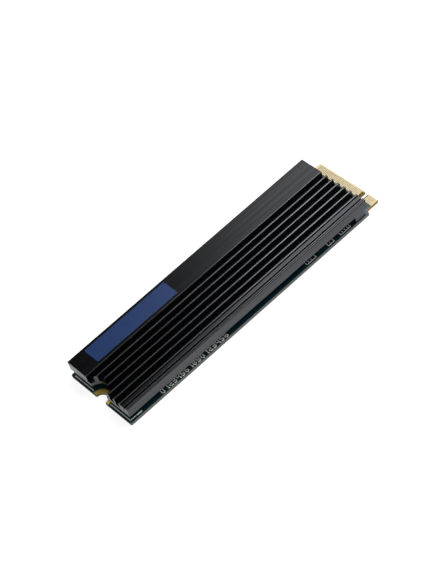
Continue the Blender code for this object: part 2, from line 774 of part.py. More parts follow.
def main():
    clear_scene()
    parts, tools = new_collection("gumstick_drive"), new_collection("cutters")
    circuit_board(parts, tools)
    flash_memories(parts, tools)
    cache_memory(parts, tools)
    controller(parts, tools)
    holdup_capacitors(parts)
    power_parts(parts, tools)
    power_inductors(parts)
    controller_companions(parts, tools)
    ceramic_capacitors(parts)
    chip_resistors(parts)
    thermal_pads(parts)
    heatsink(parts, tools)
    heatsink_label(parts)


main()
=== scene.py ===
"""The looks of a gumstick solid state drive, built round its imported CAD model.

Shapes are worked in millimetres, in the CAD model's own frame: +Y runs from the mounting notch
to the edge connector and +Z up through the heatsink's fins.
"""

import math

import bmesh
import bpy
from bpy.props import FloatProperty, FloatVectorProperty, PointerProperty
from mathutils import Matrix, Vector


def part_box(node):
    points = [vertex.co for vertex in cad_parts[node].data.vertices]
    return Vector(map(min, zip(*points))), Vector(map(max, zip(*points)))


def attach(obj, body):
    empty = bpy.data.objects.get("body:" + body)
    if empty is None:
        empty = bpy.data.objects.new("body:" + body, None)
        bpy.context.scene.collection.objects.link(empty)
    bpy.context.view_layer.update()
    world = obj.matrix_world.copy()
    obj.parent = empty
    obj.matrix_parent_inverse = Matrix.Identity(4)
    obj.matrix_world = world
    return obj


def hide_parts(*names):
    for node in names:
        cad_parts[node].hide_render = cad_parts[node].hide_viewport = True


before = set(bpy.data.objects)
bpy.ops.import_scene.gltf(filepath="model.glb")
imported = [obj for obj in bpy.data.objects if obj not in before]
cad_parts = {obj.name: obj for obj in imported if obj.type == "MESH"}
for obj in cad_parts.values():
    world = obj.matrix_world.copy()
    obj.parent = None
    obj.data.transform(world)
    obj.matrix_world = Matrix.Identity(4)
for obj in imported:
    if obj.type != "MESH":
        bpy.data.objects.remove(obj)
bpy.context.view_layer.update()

bl_info = {
    "name": "Gumstick drive looks",
    "version": (1, 0, 0),
    "blender": (4, 5, 0),
    "location": "View3D > Sidebar > Drive",
    "description": "Dresses a packed gumstick solid state drive and lights it for a product photograph",
    "category": "Object",
}

# A millimetre in metres, and tolerances in millimetres, radians and square millimetres
MM = 0.001
MERGE = 0.0005
FLAT = math.radians(1)
SHARP = math.radians(40)
SMOOTH = math.radians(35)
BROAD = 6

# How much of a face's normal lies along an axis, for one that leans to it, faces it or is square
LEANING, FACING, SQUARE = 0.5, 0.9, 0.99


def cad_box(node):
    """A CAD node's lowest and highest corners, in millimetres."""
    return [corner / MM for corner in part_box(node)]


# The CAD model's board. Its fingers and its pad round the notch stand up by the copper.
BOARD_LOW, BOARD_HIGH = cad_box("circuit_board")
COPPER = 0.04
BOARD_TOP = BOARD_HIGH.z - COPPER
BOARD_BOTTOM = BOARD_LOW.z + COPPER
BOARD_CORNER = 0.3
SHOULDER_Y = BOARD_HIGH.y - 4
TONGUE_HALF = 9.925
TIP_Y = BOARD_HIGH.y - 0.25
FINGER_INNER_Y = TIP_Y - 2
FINGER_PITCH = 0.5
FINGERS_HALF = 9.475
PIN_COUNT = 75
KEY_PINS = range(59, 67)
KEY_X = 6.125
KEY_RADIUS = 0.6
KEY_DEPTH = 3.5
NOTCH_RADIUS = 1.75
PAD_RADIUS = 2.75
PACKAGE_BASE = BOARD_TOP + 0.3

# The CAD model's heatsink, and how far its ledge by the lip is lifted here
SINK_HIGH = cad_box("heatsink")[1]
BLOCK_RIGHT = -3.935
FINS_RIGHT = 8.45
RAIL_TOP = SINK_HIGH.z - 0.35
FILLET = 0.22
LIP_RIGHT = 10.52
LEDGE_TOP = SINK_HIGH.z - 0.4
LEDGE_ROUNDING = 0.2
LEDGE_LIFT = 0.16

# Copper that shows as relief under the mask
RELIEF = 0.008
VIA_RADIUS = 0.2
VIA_SIDES = 10
POUR_MARGIN = 0.22

# Repeats of the mask's glass weave and of the laminate's plies, in millimetres. A wave texture of
# scale 1 repeats every tau / 20.
WEAVE = 0.157909
PLY = 0.0631636
WAVE_REPEAT = math.tau / 20


# Materials


def linear(hex_colour):
    """An sRGB hex colour as linear red, green, blue and alpha."""
    channels = [int(hex_colour[i : i + 2], 16) / 255 for i in (0, 2, 4)]
    return [c / 12.92 if c <= 0.04045 else ((c + 0.055) / 1.055) ** 2.4 for c in channels] + [1]


def shade(colour, by):
    """The colour with its light scaled, for the darker and lighter ends of a variation."""
    return [channel * by for channel in colour[:3]] + [1]


def add_node(tree, kind, inputs=None, **settings):
    """A node with its settings; an input is given a value, or an output to link it to."""
    made = tree.nodes.new(kind)
    for name, value in settings.items():
        setattr(made, name, value)
    for key, value in (inputs or {}).items():
        if isinstance(value, bpy.types.NodeSocket):
            tree.links.new(value, made.inputs[key])
        else:
            made.inputs[key].default_value = value
    return made


def new_material(name, colour, roughness, ior=1.5, metallic=0.0):
    """A material's tree and its Principled shader, with what is the same all over the surface."""
    material = bpy.data.materials.new(name)
    material.use_nodes = True
    tree = material.node_tree
    shader = tree.nodes["Principled BSDF"]
    shader.inputs["Base Color"].default_value = colour
    shader.inputs["Roughness"].default_value = roughness
    shader.inputs["Metallic"].default_value = metallic
    if not metallic:
        shader.inputs["IOR"].default_value = ior
    return material, tree, shader


def in_millimetres(tree, repeat):
    """Object coordinates scaled so that one unit is the pattern's repeat, in millimetres."""
    place = add_node(tree, "ShaderNodeTexCoord").outputs["Object"]
    scale = [1 / (MM * size) for size in repeat]
    return add_node(tree, "ShaderNodeMapping", {"Vector": place, "Scale": scale}).outputs[0]


def noise(tree, repeat, detail, roughness=0.5):
    """Cloudy noise, its repeat in millimetres along each axis, or one for all three."""
    repeat = repeat if isinstance(repeat, tuple) else (repeat,) * 3
    inputs = {"Vector": in_millimetres(tree, repeat), "Scale": 1, "Detail": detail, "Roughness": roughness}
    return add_node(tree, "ShaderNodeTexNoise", inputs).outputs[0]


def bands(tree, repeat, axis, distortion, detail):
    """Soft bands across an axis, their repeat in millimetres."""
    inputs = {
        "Vector": in_millimetres(tree, (1, 1, 1)),
        "Scale": WAVE_REPEAT / repeat,
        "Distortion": distortion,
        "Detail": detail,
    }
    return add_node(tree, "ShaderNodeTexWave", inputs, bands_direction=axis).outputs[0]


def multiplied(tree, first, second):
    return add_node(tree, "ShaderNodeMath", {0: first, 1: second}, operation="MULTIPLY").outputs[0]


def mapped(tree, value, low, high, new_low, new_high):
    """A value carried from one range to another and held at its ends."""
    inputs = {"Value": value, "From Min": low, "From Max": high, "To Min": new_low, "To Max": new_high}
    return add_node(tree, "ShaderNodeMapRange", inputs).outputs[0]


def vary_colour(tree, shader, factor, colour, darker, lighter):
    """Takes the base colour from a darker to a lighter shade of itself."""
    mix = add_node(tree, "ShaderNodeMix", {"Factor": factor}, data_type="RGBA")
    mix.inputs[6].default_value = shade(colour, darker)
    mix.inputs[7].default_value = shade(colour, lighter)
    tree.links.new(mix.outputs[2], shader.inputs["Base Color"])


def add_relief(tree, shader, height, strength, depth, beneath=None):
    """Fine relief, its depth in metres, over what lies beneath it."""
    inputs = {"Strength": strength, "Distance": depth, "Height": height}
    if beneath:
        inputs["Normal"] = beneath
    relief = add_node(tree, "ShaderNodeBump", inputs).outputs[0]
    tree.links.new(relief, shader.inputs["Normal"])
    return relief


def anodised_aluminium(name, settings, gleam, streak):
    """Extruded aluminium, black anodised: a clear oxide film over dye, which looks like dark
    glass with a satin sheen. The die leaves fine streaks along the extrusion. Brushing the broad
    top halves its gleam, and sawing takes more than half off the ends'."""
    satin = settings.anodised_roughness
    material, tree, shader = new_material(name, settings.anodised, satin, ior=1.65)
    shader.inputs["Specular Tint"].default_value = (0.92, 0.95, 1, 1)
    streaks = noise(tree, streak, 3, roughness=0.6)
    grain = noise(tree, (0.09, 0.35, 0.09), 2)
    vary_colour(tree, shader, streaks, settings.anodised, 0.5, 1.5)
    level = mapped(tree, streaks, 0.35, 0.65, gleam * 0.75, gleam * 1.25)
    tree.links.new(level, shader.inputs["Specular IOR Level"])
    rough = mapped(tree, grain, 0.3, 0.7, satin - 0.015, satin + 0.015)
    tree.links.new(rough, shader.inputs["Roughness"])
    lines = add_relief(tree, shader, streaks, 1, settings.streak_depth)
    add_relief(tree, shader, grain, 0.2, 0.0000004, beneath=lines)
    return material


def solder_mask(settings):
    """Liquid solder mask, cured glossy over glass cloth, whose weave shows through as a faint
    ripple."""
    material, tree, shader = new_material("solder_mask", settings.mask, settings.mask_roughness, ior=1.52)
    warp, weft = (bands(tree, WEAVE, axis, 0.6, 1) for axis in "XY")
    weave = multiplied(tree, warp, weft)
    vary_colour(tree, shader, weave, settings.mask, 0.85, 1.2)
    add_relief(tree, shader, weave, 0.5, 0.000001)
    return material


def masked_copper(settings):
    """Copper under the same solder mask, which looks a shade lighter and greener there."""
    tint = shade(settings.mask, 2.2)
    material, tree, shader = new_material("masked_copper", tint, settings.mask_roughness, ior=1.52)
    vary_colour(tree, shader, noise(tree, 0.5, 2), tint, 0.8, 1.2)
    return material


def masked_pour(settings):
    """A broad copper pour under the mask: the copper's own gleam comes through, cooled by the dye."""
    material, tree, shader = new_material("masked_pour", settings.pour, 0.3, metallic=1.0)
    vary_colour(tree, shader, noise(tree, 0.5, 2), settings.pour, 0.75, 1.2)
    return material


def gold_plating(name, gold, roughness):
    """Gold over nickel: electroplated hard gold is pale and bright, immersion gold is deeper and
    duller. Both are satin from the copper's grain."""
    material, tree, shader = new_material(name, gold, roughness, metallic=1.0)
    grain = noise(tree, 0.08, 3)
    vary_colour(tree, shader, grain, gold, 0.8, 1.1)
    add_relief(tree, shader, grain, 0.4, 0.000002)
    return material


def glass_epoxy(name, resin, gleam=0.5):
    """Glass-epoxy laminate, cut by a router: matte, with its plies as fine bands on the edge. It
    is amber where it is bare, and grey where routing dust and mask cover it. Between the
    fingers it is given painted shade: a darker copy with little gleam. Bevelling leaves it pale."""
    material, tree, shader = new_material(name, resin, 0.5, ior=1.55)
    shader.inputs["Specular IOR Level"].default_value = gleam
    plies = bands(tree, PLY, "Z", 0.3, 2)
    fibres = noise(tree, (0.3, 0.3, 0.08), 4)
    vary_colour(tree, shader, multiplied(tree, plies, fibres), resin, 0.6, 1.5)
    return material


def near_edge_painted_shade(settings):
    """The near cut edge: painted shade in the mask's dark colour, matte, darker than the other cut edges."""
    material, tree, shader = new_material("near_edge_painted_shade", settings.mask, 0.75, ior=1.4)
    shader.inputs["Specular IOR Level"].default_value = 0.12
    vary_colour(tree, shader, noise(tree, (0.25, 0.25, 0.08), 3), settings.mask, 0.5, 1.3)
    return material


def marking_ink(settings):
    """Epoxy marking ink, screen printed: matte and slightly broken over the mask."""
    material, tree, shader = new_material("marking_ink", settings.ink, 0.6)
    vary_colour(tree, shader, noise(tree, 0.12, 3), settings.ink, 0.6, 1.15)
    return material


def label_film(settings):
    """Polyester label film, printed all over and laminated: even colour with a soft sheen."""
    material, tree, shader = new_material("polyester_label_film", settings.label, 0.3, ior=1.5)
    vary_colour(tree, shader, noise(tree, 2.5, 4), settings.label, 0.85, 1.15)
    add_relief(tree, shader, noise(tree, 0.4, 1), 0.3, 0.000003)
    return material


def speckled(name, hex_colour, roughness, grain_size, contrast=0.3, ior=1.5, metallic=0.0):
    """A plain material whose grain, in millimetres, varies its colour and its surface a little."""
    colour = linear(hex_colour)
    material, tree, shader = new_material(name, colour, roughness, ior, metallic)
    grain = noise(tree, grain_size, 3)
    vary_colour(tree, shader, grain, colour, 1 - contrast, 1 + contrast)
    add_relief(tree, shader, grain, 0.5, grain_size * MM / 30)
    return material


def mould_compound():
    """Silica-filled epoxy, transfer moulded: charcoal with a fine, even grain."""
    return speckled("epoxy_mould_compound", "1b1b1c", 0.6, 0.06)


def tin_solder():
    """Tin-silver solder and tinned terminals: bright grey metal, dulled by reflow. Packages and
    small parts share it."""
    return bpy.data.materials.get("tin_solder") or speckled(
        "tin_solder", "c4c3bf", 0.35, 0.15, 0.15, metallic=1.0
    )


def filled_silicone():
    """Soft silicone filled with ceramic powder, calendered: chalky blue-grey."""
    return speckled("filled_silicone", "8b95a0", 0.8, 0.12, 0.12, ior=1.42)


def pressed_iron():
    """Pressed iron powder of a choke: warm dark grey with visible grains."""
    return speckled("pressed_iron_powder", "3c3a38", 0.7, 0.07, 0.4)


def dielectric_ceramic():
    """Fired barium titanate of a ceramic capacitor: tan, smooth, slightly glossy."""
    return speckled("barium_titanate_ceramic", "a5875f", 0.45, 0.2, 0.1, ior=2.0)


def resistor_glaze():
    """Glass glaze over a printed resistor: black and glossy."""
    return speckled("resistor_glaze", "141517", 0.25, 0.2, 0.2)


def capacitor_moulding():
    """Moulded case of a polymer capacitor: dark grey epoxy, matte from the tool."""
    return speckled("capacitor_moulding", "2a2a2d", 0.55, 0.08)


def alumina():
    """Pressed and fired alumina of the crystal's base: dark brown and dull."""
    return speckled("alumina_ceramic", "4a4038", 0.5, 0.1)


def plated_lid():
    """Nickel-plated lid of the crystal, seam welded: bright and brushed by handling."""
    return speckled("nickel_plated_lid", "bdb9b0", 0.28, 0.25, 0.1, metallic=1.0)


# Mesh making


def smooth_roundings(bm):
    """Shades roundings smooth, while corners stay crisp and broad faces stay flat beside them."""
    for face in bm.faces:
        face.smooth = True
    for edge in bm.edges:
        angle = edge.calc_face_angle(math.pi)
        by_broad_face = any(face.calc_area() > BROAD for face in edge.link_faces)
        edge.smooth = angle < (FLAT if by_broad_face else SMOOTH)


def link_piece(bm, name, materials, replaced=(), smooth=True):
    """Turns a bmesh worked in millimetres into a piece that rides on the drive's one body."""
    if smooth:
        smooth_roundings(bm)
    bmesh.ops.scale(bm, vec=(MM, MM, MM), verts=bm.verts)
    mesh = bpy.data.meshes.new(name)
    bm.to_mesh(mesh)
    bm.free()
    for material in materials:
        mesh.materials.append(material)
    piece = bpy.data.objects.new(name, mesh)
    bpy.context.scene.collection.objects.link(piece)
    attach(piece, "root")
    if replaced:
        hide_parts(*replaced)
    return piece


def cad_copy(node):
    """A CAD node's mesh in millimetres, merged, with each flat face made whole again."""
    bm = bmesh.new()
    bm.from_mesh(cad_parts[node].data)
    bmesh.ops.scale(bm, vec=(1 / MM, 1 / MM, 1 / MM), verts=bm.verts)
    bmesh.ops.remove_doubles(bm, verts=bm.verts, dist=MERGE)
    bmesh.ops.dissolve_limit(
        bm, angle_limit=FLAT, use_dissolve_boundaries=False, verts=bm.verts, edges=bm.edges
    )
    return bm


def painted(bm, base, *layers):
    """Paints each layer, a material and its test of a face's centre and normal, over those before
    it. Gives the materials in the order of their slots."""
    for slot, (_, chosen) in enumerate(layers, 1):
        for face in bm.faces:
            if chosen(face.calc_center_median(), face.normal):
                face.material_index = slot
    return [base, *(material for material, _ in layers)]


def rounded(bm, geom, width, segments, affect):
    """Bevels edges or vertices to a round profile."""
    bmesh.ops.bevel(
        bm,
        geom=geom,
        offset=width,
        offset_type="OFFSET",
        segments=segments,
        profile=0.5,
        affect=affect,
        clamp_overlap=True,
        material=-1,
    )


def soften(bm, width, segments=2, chosen=lambda edge: True):
    """Rounds the outward sharp edges that are chosen."""
    sharp = [
        edge
        for edge in bm.edges
        if edge.is_manifold and edge.calc_face_angle_signed() > SHARP and chosen(edge)
    ]
    rounded(bm, sharp, width, segments, "EDGES")


def along(edge, axis):
    """How far an edge runs along an axis."""
    return abs(edge.verts[0].co[axis] - edge.verts[1].co[axis])


def add_bar(bm, low, high):
    """A box between two corners, in millimetres."""
    low, high = Vector(low), Vector(high)
    place = Matrix.Translation((low + high) / 2) @ Matrix.Diagonal((*(high - low), 1))
    bmesh.ops.create_cube(bm, size=1, matrix=place)


def add_disc(bm, centre, radius, low, high):
    """A low round via pad between two heights."""
    place = Matrix.Translation((*centre, (low + high) / 2))
    sizes = {"radius1": radius, "radius2": radius, "depth": high - low}
    bmesh.ops.create_cone(bm, cap_ends=True, segments=VIA_SIDES, matrix=place, **sizes)


def thicken(bm, height):
    """Raises flat faces into solids of the height given."""
    top = bmesh.ops.extrude_face_region(bm, geom=bm.faces[:])["geom"]
    risen = [part for part in top if isinstance(part, bmesh.types.BMVert)]
    bmesh.ops.translate(bm, vec=(0, 0, height), verts=risen)
    bmesh.ops.recalc_face_normals(bm, faces=bm.faces)


def rounded_film(corners, low, high, segments=12):
    """A film between two heights. Each corner is (x, y, radius), and a radius above 0 rounds it."""
    bm = bmesh.new()
    made = [(bm.verts.new((x, y, low)), radius) for x, y, radius in corners]
    bm.faces.new([vert for vert, _ in made])
    for radius in sorted({radius for _, radius in made if radius}):
        rounded(bm, [vert for vert, own in made if own == radius], radius, segments, "VERTICES")
    thicken(bm, high - low)
    return bm


# Settings


def length(name, description, default):
    return FloatProperty(name=name, description=description, default=default, unit="LENGTH", precision=6)


def colour(name, description, hex_colour):
    default = linear(hex_colour)
    return FloatVectorProperty(
        name=name, description=description, subtype="COLOR", size=4, min=0, max=1, default=default
    )


def share(name, description, default):
    return FloatProperty(name=name, description=description, default=default, min=0, max=1)


def strength(name, description, default):
    return FloatProperty(name=name, description=description, default=default, min=0)


class BoardSettings(bpy.types.PropertyGroup):
    mask: colour("Solder mask", "Colour of the solder mask over bare laminate", "0d262e")
    mask_roughness: share("Mask roughness", "How matte the solder mask is", 0.16)
    mask_thickness: length("Mask thickness", "Height of the solder mask over the laminate", 0.00002)
    mask_margin: length("Mask margin", "How far the solder mask keeps from the cut edge", 0.00006)
    laminate: colour("Laminate", "Colour of the board's routed edge", "62645c")
    bare_laminate: colour("Bare laminate", "Colour of the glass-epoxy at the connector's cut edge", "a47c26")
    bevelled_tip: colour("Bevelled tip", "Colour of the glass-epoxy round the fingers", "c8b88c")
    gold: colour("Hard gold", "Colour of the fingers", "b9ad8e")
    soft_gold: colour("Soft gold", "Colour of the mounting notch's plating", "e6cc70")
    pour: colour("Masked pour", "Colour of a broad copper pour seen through the mask", "444e5a")
    ink: colour("Ink", "Colour of the printed marks", "e0e4e2")
    ink_thickness: length("Ink thickness", "Height of the printed marks", 0.000012)
    trace_width: length("Trace width", "Width of a signal trace", 0.00015)


class HeatsinkSettings(bpy.types.PropertyGroup):
    anodised: colour("Anodising", "Colour of the anodised film", "030304")
    anodised_roughness: share("Film roughness", "How satin the anodised film is", 0.2)
    gleam: share("Gleam", "Specular level of the drawn surfaces", 0.5)
    brushed_gleam: share("Brushed gleam", "Specular level of the block's brushed top", 0.265)
    edge: length("Edge rounding", "Rounding of the extrusion's sharp corners", 0.00006)
    streak_spacing: length("Streak spacing", "Distance between the die's streaks", 0.0005)
    streak_depth: length("Streak depth", "Depth of the die's streaks", 0.000002)
    label: colour("Label", "Colour of the label film", "0a2650")
    label_edge: length("Label edge", "Rounding of the label's edge", 0.00003)


class ChipSettings(bpy.types.PropertyGroup):
    pad_bulge: length("Pad edge", "Rounding of the soft thermal pads' edges", 0.00015)
    chip_edge: length("Chip edge", "Rounding of the small chips' edges", 0.00004)


class StageSettings(bpy.types.PropertyGroup):
    floor: colour("Floor", "Colour of the paper sweep", "808080")
    floor_glow: strength("Floor glow", "Light added to the floor where the camera sees it", 0.85)
    floor_gleam: strength("Floor gleam", "Light added to the floor in reflections", 0.72)
    left_radiance: strength("Left softbox", "Radiance of the softbox behind and to the left", 2.2)
    back_radiance: strength("Back softbox", "Radiance of the softbox behind the drive", 8.0)
    top_radiance: strength("Top softbox", "Radiance of the softbox overhead", 1.2)
    fill_radiance: strength("Front fill", "Radiance of the small fill in front, to the right", 12.0)
    room: strength("Room", "Strength of the room's own light", 0.02)
    lens: FloatProperty(name="Lens", description="Camera's focal length in mm", default=125.646, min=1)


# Pieces


class DRIVE_OT_board(bpy.types.Operator):
    """Dress the circuit board: laminate core, solder mask, gold fingers and mounting pad"""

    bl_idname = "drive.board"
    bl_label = "Circuit board"

    def execute(self, context):
        settings = context.scene.drive_board
        mask = solder_mask(settings)
        self.core(settings)
        outline = self.mask_outline(settings.mask_margin / MM)
        film = settings.mask_thickness / MM
        top = rounded_film(outline, BOARD_TOP, BOARD_TOP + film)
        link_piece(top, "solder_mask_top", [mask])
        bottom = rounded_film(outline, BOARD_BOTTOM - film, BOARD_BOTTOM)
        link_piece(bottom, "solder_mask_bottom", [mask])
        return {"FINISHED"}

    def core(self, settings):
        """The laminate, with hard gold on the fingers and soft gold on the mounting notch. It is
        cut into faces round the fingers, so that the bevelled strips get their own finish."""
        bm = cad_copy("circuit_board")
        for cut in ((FINGERS_HALF, 0, 0), (-FINGERS_HALF, 0, 0), (0, TIP_Y, 0), (0, FINGER_INNER_Y, 0)):
            every = [*bm.verts, *bm.edges, *bm.faces]
            bmesh.ops.bisect_plane(bm, geom=every, dist=MERGE, plane_co=cut, plane_no=cut)

        def raised(centre, normal):
            return centre.z > BOARD_TOP + COPPER / 4 or centre.z < BOARD_BOTTOM - COPPER / 4

        def by_notch(centre, normal):
            reach = math.hypot(centre.x, centre.y - BOARD_LOW.y)
            return reach < NOTCH_RADIUS + COPPER or (raised(centre, normal) and centre.y < 0)

        def in_notch(centre, normal):
            upright = abs(normal.z) < LEANING
            return upright and by_notch(centre, normal) and not raised(centre, normal)

        def on_tongue(centre, normal):
            return centre.y > SHOULDER_Y and not raised(centre, normal)

        def on_near_edge(centre, normal):
            return normal.y < -FACING and centre.y < BOARD_LOW.y + MERGE

        def between_fingers(centre, normal):
            return normal.z > FACING and on_tongue(centre, normal)

        def round_fingers(centre, normal):
            beside = abs(centre.x) > FINGERS_HALF and centre.y > FINGER_INNER_Y
            return normal.z > LEANING and not raised(centre, normal) and (beside or centre.y > TIP_Y)

        # Between the fingers the bare laminate is taken down to a third of its colour: painted shade between
        # the raised copper.
        finger_gap_shade = shade(settings.bare_laminate, 0.3)
        finishes = painted(
            bm,
            glass_epoxy("routed_laminate", settings.laminate),
            (gold_plating("hard_gold", settings.gold, 0.3), raised),
            (gold_plating("immersion_gold", settings.soft_gold, 0.6), by_notch),
            # The notch's barrel walls are the soft gold darkened to under a fifth: painted shade.
            (gold_plating("barrel_gold_painted_shade", shade(settings.soft_gold, 0.18), 0.5), in_notch),
            (glass_epoxy("bare_laminate", settings.bare_laminate), on_tongue),
            # The near cut edge gets the mask's dark colour: painted shade.
            (near_edge_painted_shade(settings), on_near_edge),
            (glass_epoxy("finger_gap_painted_shade", finger_gap_shade, gleam=0.1), between_fingers),
            (glass_epoxy("bevelled_laminate", settings.bevelled_tip), round_fingers),
        )
        link_piece(bm, "board_core", finishes, ["circuit_board"], smooth=False)

    def mask_outline(self, margin):
        """The mask's edge: short of the cut edges, the fingers and the mounting pad."""
        side, near, far = BOARD_HIGH.x - margin, BOARD_LOW.y + margin, SHOULDER_Y - margin
        tongue, fingers = TONGUE_HALF - margin, FINGER_INNER_Y - margin
        key, key_end = KEY_RADIUS + margin, BOARD_HIGH.y - KEY_DEPTH - margin
        pad = PAD_RADIUS + margin / 2
        return [
            (-side, near, BOARD_CORNER),
            (-pad, near, 0),
            (-pad, near + pad - margin, pad - margin),
            (pad, near + pad - margin, pad - margin),
            (pad, near, 0),
            (side, near, BOARD_CORNER),
            (side, far, BOARD_CORNER),
            (tongue, far, 0),
            (tongue, fingers, 0),
            (KEY_X + key, fingers, 0),
            (KEY_X + key, key_end, key),
            (KEY_X - key, key_end, key),
            (KEY_X - key, fingers, 0),
            (-tongue, fingers, 0),
            (-tongue, far, 0),
            (-side, far, BOARD_CORNER),
        ]


class DRIVE_OT_print(bpy.types.Operator):
    """Print the board's ink marks: the edge line, its corner bar and the marks on the margin"""

    bl_idname = "drive.print"
    bl_label = "Printed marks"

    def execute(self, context):
        settings = context.scene.drive_board
        low = BOARD_TOP + settings.mask_thickness / MM
        high = low + settings.ink_thickness / MM
        bm = bmesh.new()
        for low_xy, high_xy in (*self.edge_line(), *self.counting_digits(), *self.brackets()):
            add_bar(bm, (*low_xy, low), (*high_xy, high))
        link_piece(bm, "printed_marks", [marking_ink(settings)])
        return {"FINISHED"}

    def edge_line(self):
        """The line along the near edge, broken by the mounting pad, and the corner's short bar."""
        y, half, start, gap, corner = BOARD_LOW.y + 0.5, 0.13, -10, 3, 10.35
        turn, bar_left, bar_right, bar_end = y + 2, 10.1, 10.5, y + 3.5
        return [
            ((start, y - half), (-gap, y + half)),
            ((gap, y - half), (corner, y + half)),
            ((corner - 2 * half, y + half), (corner, turn)),
            ((bar_left, turn), (bar_right, bar_end)),
        ]

    def counting_digits(self):
        """Plain digits that count up along the right margin, made of straight strokes. They stand
        with their feet to the board's edge."""
        foot, waist, head = 10.75, 10.0, 9.25
        width, stroke = 0.95, 0.26
        count, first, pitch = 17, -29.95, 1.23
        strokes = {
            "foot": ((foot - stroke, 0), (foot, width)),
            "waist": ((waist - stroke / 2, 0), (waist + stroke / 2, width)),
            "head": ((head, 0), (head + stroke, width)),
            "foot_left": ((waist, 0), (foot, stroke)),
            "foot_right": ((waist, width - stroke), (foot, width)),
            "head_left": ((head, 0), (waist, stroke)),
            "head_right": ((head, width - stroke), (waist, width)),
        }
        left_out = (
            ("waist",),
            ("waist", "head", "foot", "head_left", "foot_left"),
            ("head_left", "foot_right"),
            ("head_left", "foot_left"),
            ("head", "foot", "foot_left"),
            ("head_right", "foot_left"),
            ("head_right",),
            ("waist", "foot", "head_left", "foot_left"),
            (),
            ("foot_left",),
        )
        made = []
        for place in range(count):
            y = first + pitch * place
            for name, (low, high) in strokes.items():
                if name not in left_out[place % len(left_out)]:
                    made.append(((low[0], y + low[1]), (high[0], y + high[1])))
        return made

    def brackets(self):
        """Three plain brackets on the margin by the connector, each round a few short strokes."""
        inner, outer, line = 9.3, 10.35, 0.15
        stroke_left, stroke_right, stroke, pitch = 9.7, 10.1, 0.2, 0.8
        made = []
        for start, end in ((16, 19.1), (23, 25), (27.1, 30.4)):
            made.append(((outer, start), (outer + line, end)))
            made += [((inner, y), (outer, y + line)) for y in (start, end - line)]
            for step in range(1, int((end - start) / pitch)):
                y = start + pitch * step
                made.append(((stroke_left, y), (stroke_right, y + stroke)))
        return made


class DRIVE_OT_traces(bpy.types.Operator):
    """Lay the copper that shows as relief under the mask: finger fan-out, buses and vias"""

    bl_idname = "drive.traces"
    bl_label = "Masked copper"

    def execute(self, context):
        settings = context.scene.drive_board
        copper = masked_copper(settings)
        film, half = settings.mask_thickness / MM, settings.trace_width / MM / 2
        above = (BOARD_TOP + film, BOARD_TOP + film + RELIEF)
        below = (BOARD_BOTTOM - film - RELIEF, BOARD_BOTTOM - film)
        top, bottom = bmesh.new(), bmesh.new()
        self.fan_out(top, half, above, odd=True)
        self.fan_out(bottom, half, below, odd=False)
        self.bus(bottom, half, below, lanes=9, left=-6.4, near=-26.0, far=20.5)
        self.bus(bottom, half, below, lanes=6, left=1.2, near=-12.0, far=14.0)
        self.via_field(bottom, below)
        self.pours(settings, above[0])
        link_piece(top, "masked_copper_top", [copper])
        link_piece(bottom, "masked_copper_bottom", [copper])
        return {"FINISHED"}

    def fan_out(self, bm, half, heights, odd):
        """A trace from each finger of one side to a via, in three lengths, short by the key."""
        gap, shortest, step, by_key, key_length = 0.3, 2.2, 0.9, 1.2, 0.5
        end = FINGER_INNER_Y - gap
        for pin in range(1 if odd else 2, PIN_COUNT + 1, 2):
            if pin in KEY_PINS:
                continue
            x = (pin - (PIN_COUNT + 1) / 2) * FINGER_PITCH / 2
            reach = key_length if abs(x - KEY_X) < by_key else shortest + step * (pin // 2 % 3)
            add_bar(bm, (x - half, end - reach, heights[0]), (x + half, end, heights[1]))
            add_disc(bm, (x, end - reach), VIA_RADIUS, *heights)

    def bus(self, bm, half, heights, lanes, left, near, far):
        """Parallel traces on the underside, with a via at each end, stepped in threes."""
        pitch, step = 0.35, 0.7
        for lane in range(lanes):
            x, shift = left + pitch * lane, step * (lane % 3)
            ends = near + shift, far + shift
            add_bar(bm, (x - half, ends[0], heights[0]), (x + half, ends[1], heights[1]))
            for y in ends:
                add_disc(bm, (x, y), VIA_RADIUS, *heights)

    def via_field(self, bm, heights):
        """A block of smaller vias on the underside, beside the first flash memory's place."""
        left, near, pitch, rows, columns, radius = 5.2, -30.0, 0.9, 6, 5, 0.18
        for row in range(rows):
            for column in range(columns):
                add_disc(bm, (left + pitch * column, near + pitch * row), radius, *heights)

    def pours(self, settings, low):
        """Ground copper by each shoulder, which gleams blue-grey through the mask."""
        under_heatsink = 0.9
        inner, near = FINS_RIGHT, SINK_HIGH.y - under_heatsink
        step, outer = TONGUE_HALF - POUR_MARGIN, BOARD_HIGH.x - POUR_MARGIN
        shoulder, far = SHOULDER_Y - POUR_MARGIN, FINGER_INNER_Y - POUR_MARGIN
        corners = (
            (inner, near),
            (outer, near),
            (outer, shoulder),
            (step, shoulder),
            (step, far),
            (inner, far),
        )
        bm = bmesh.new()
        for side in (-1, 1):
            bm.faces.new([bm.verts.new((side * x, y, low)) for x, y in corners])
        thicken(bm, RELIEF)
        link_piece(bm, "masked_pours", [masked_pour(settings)])


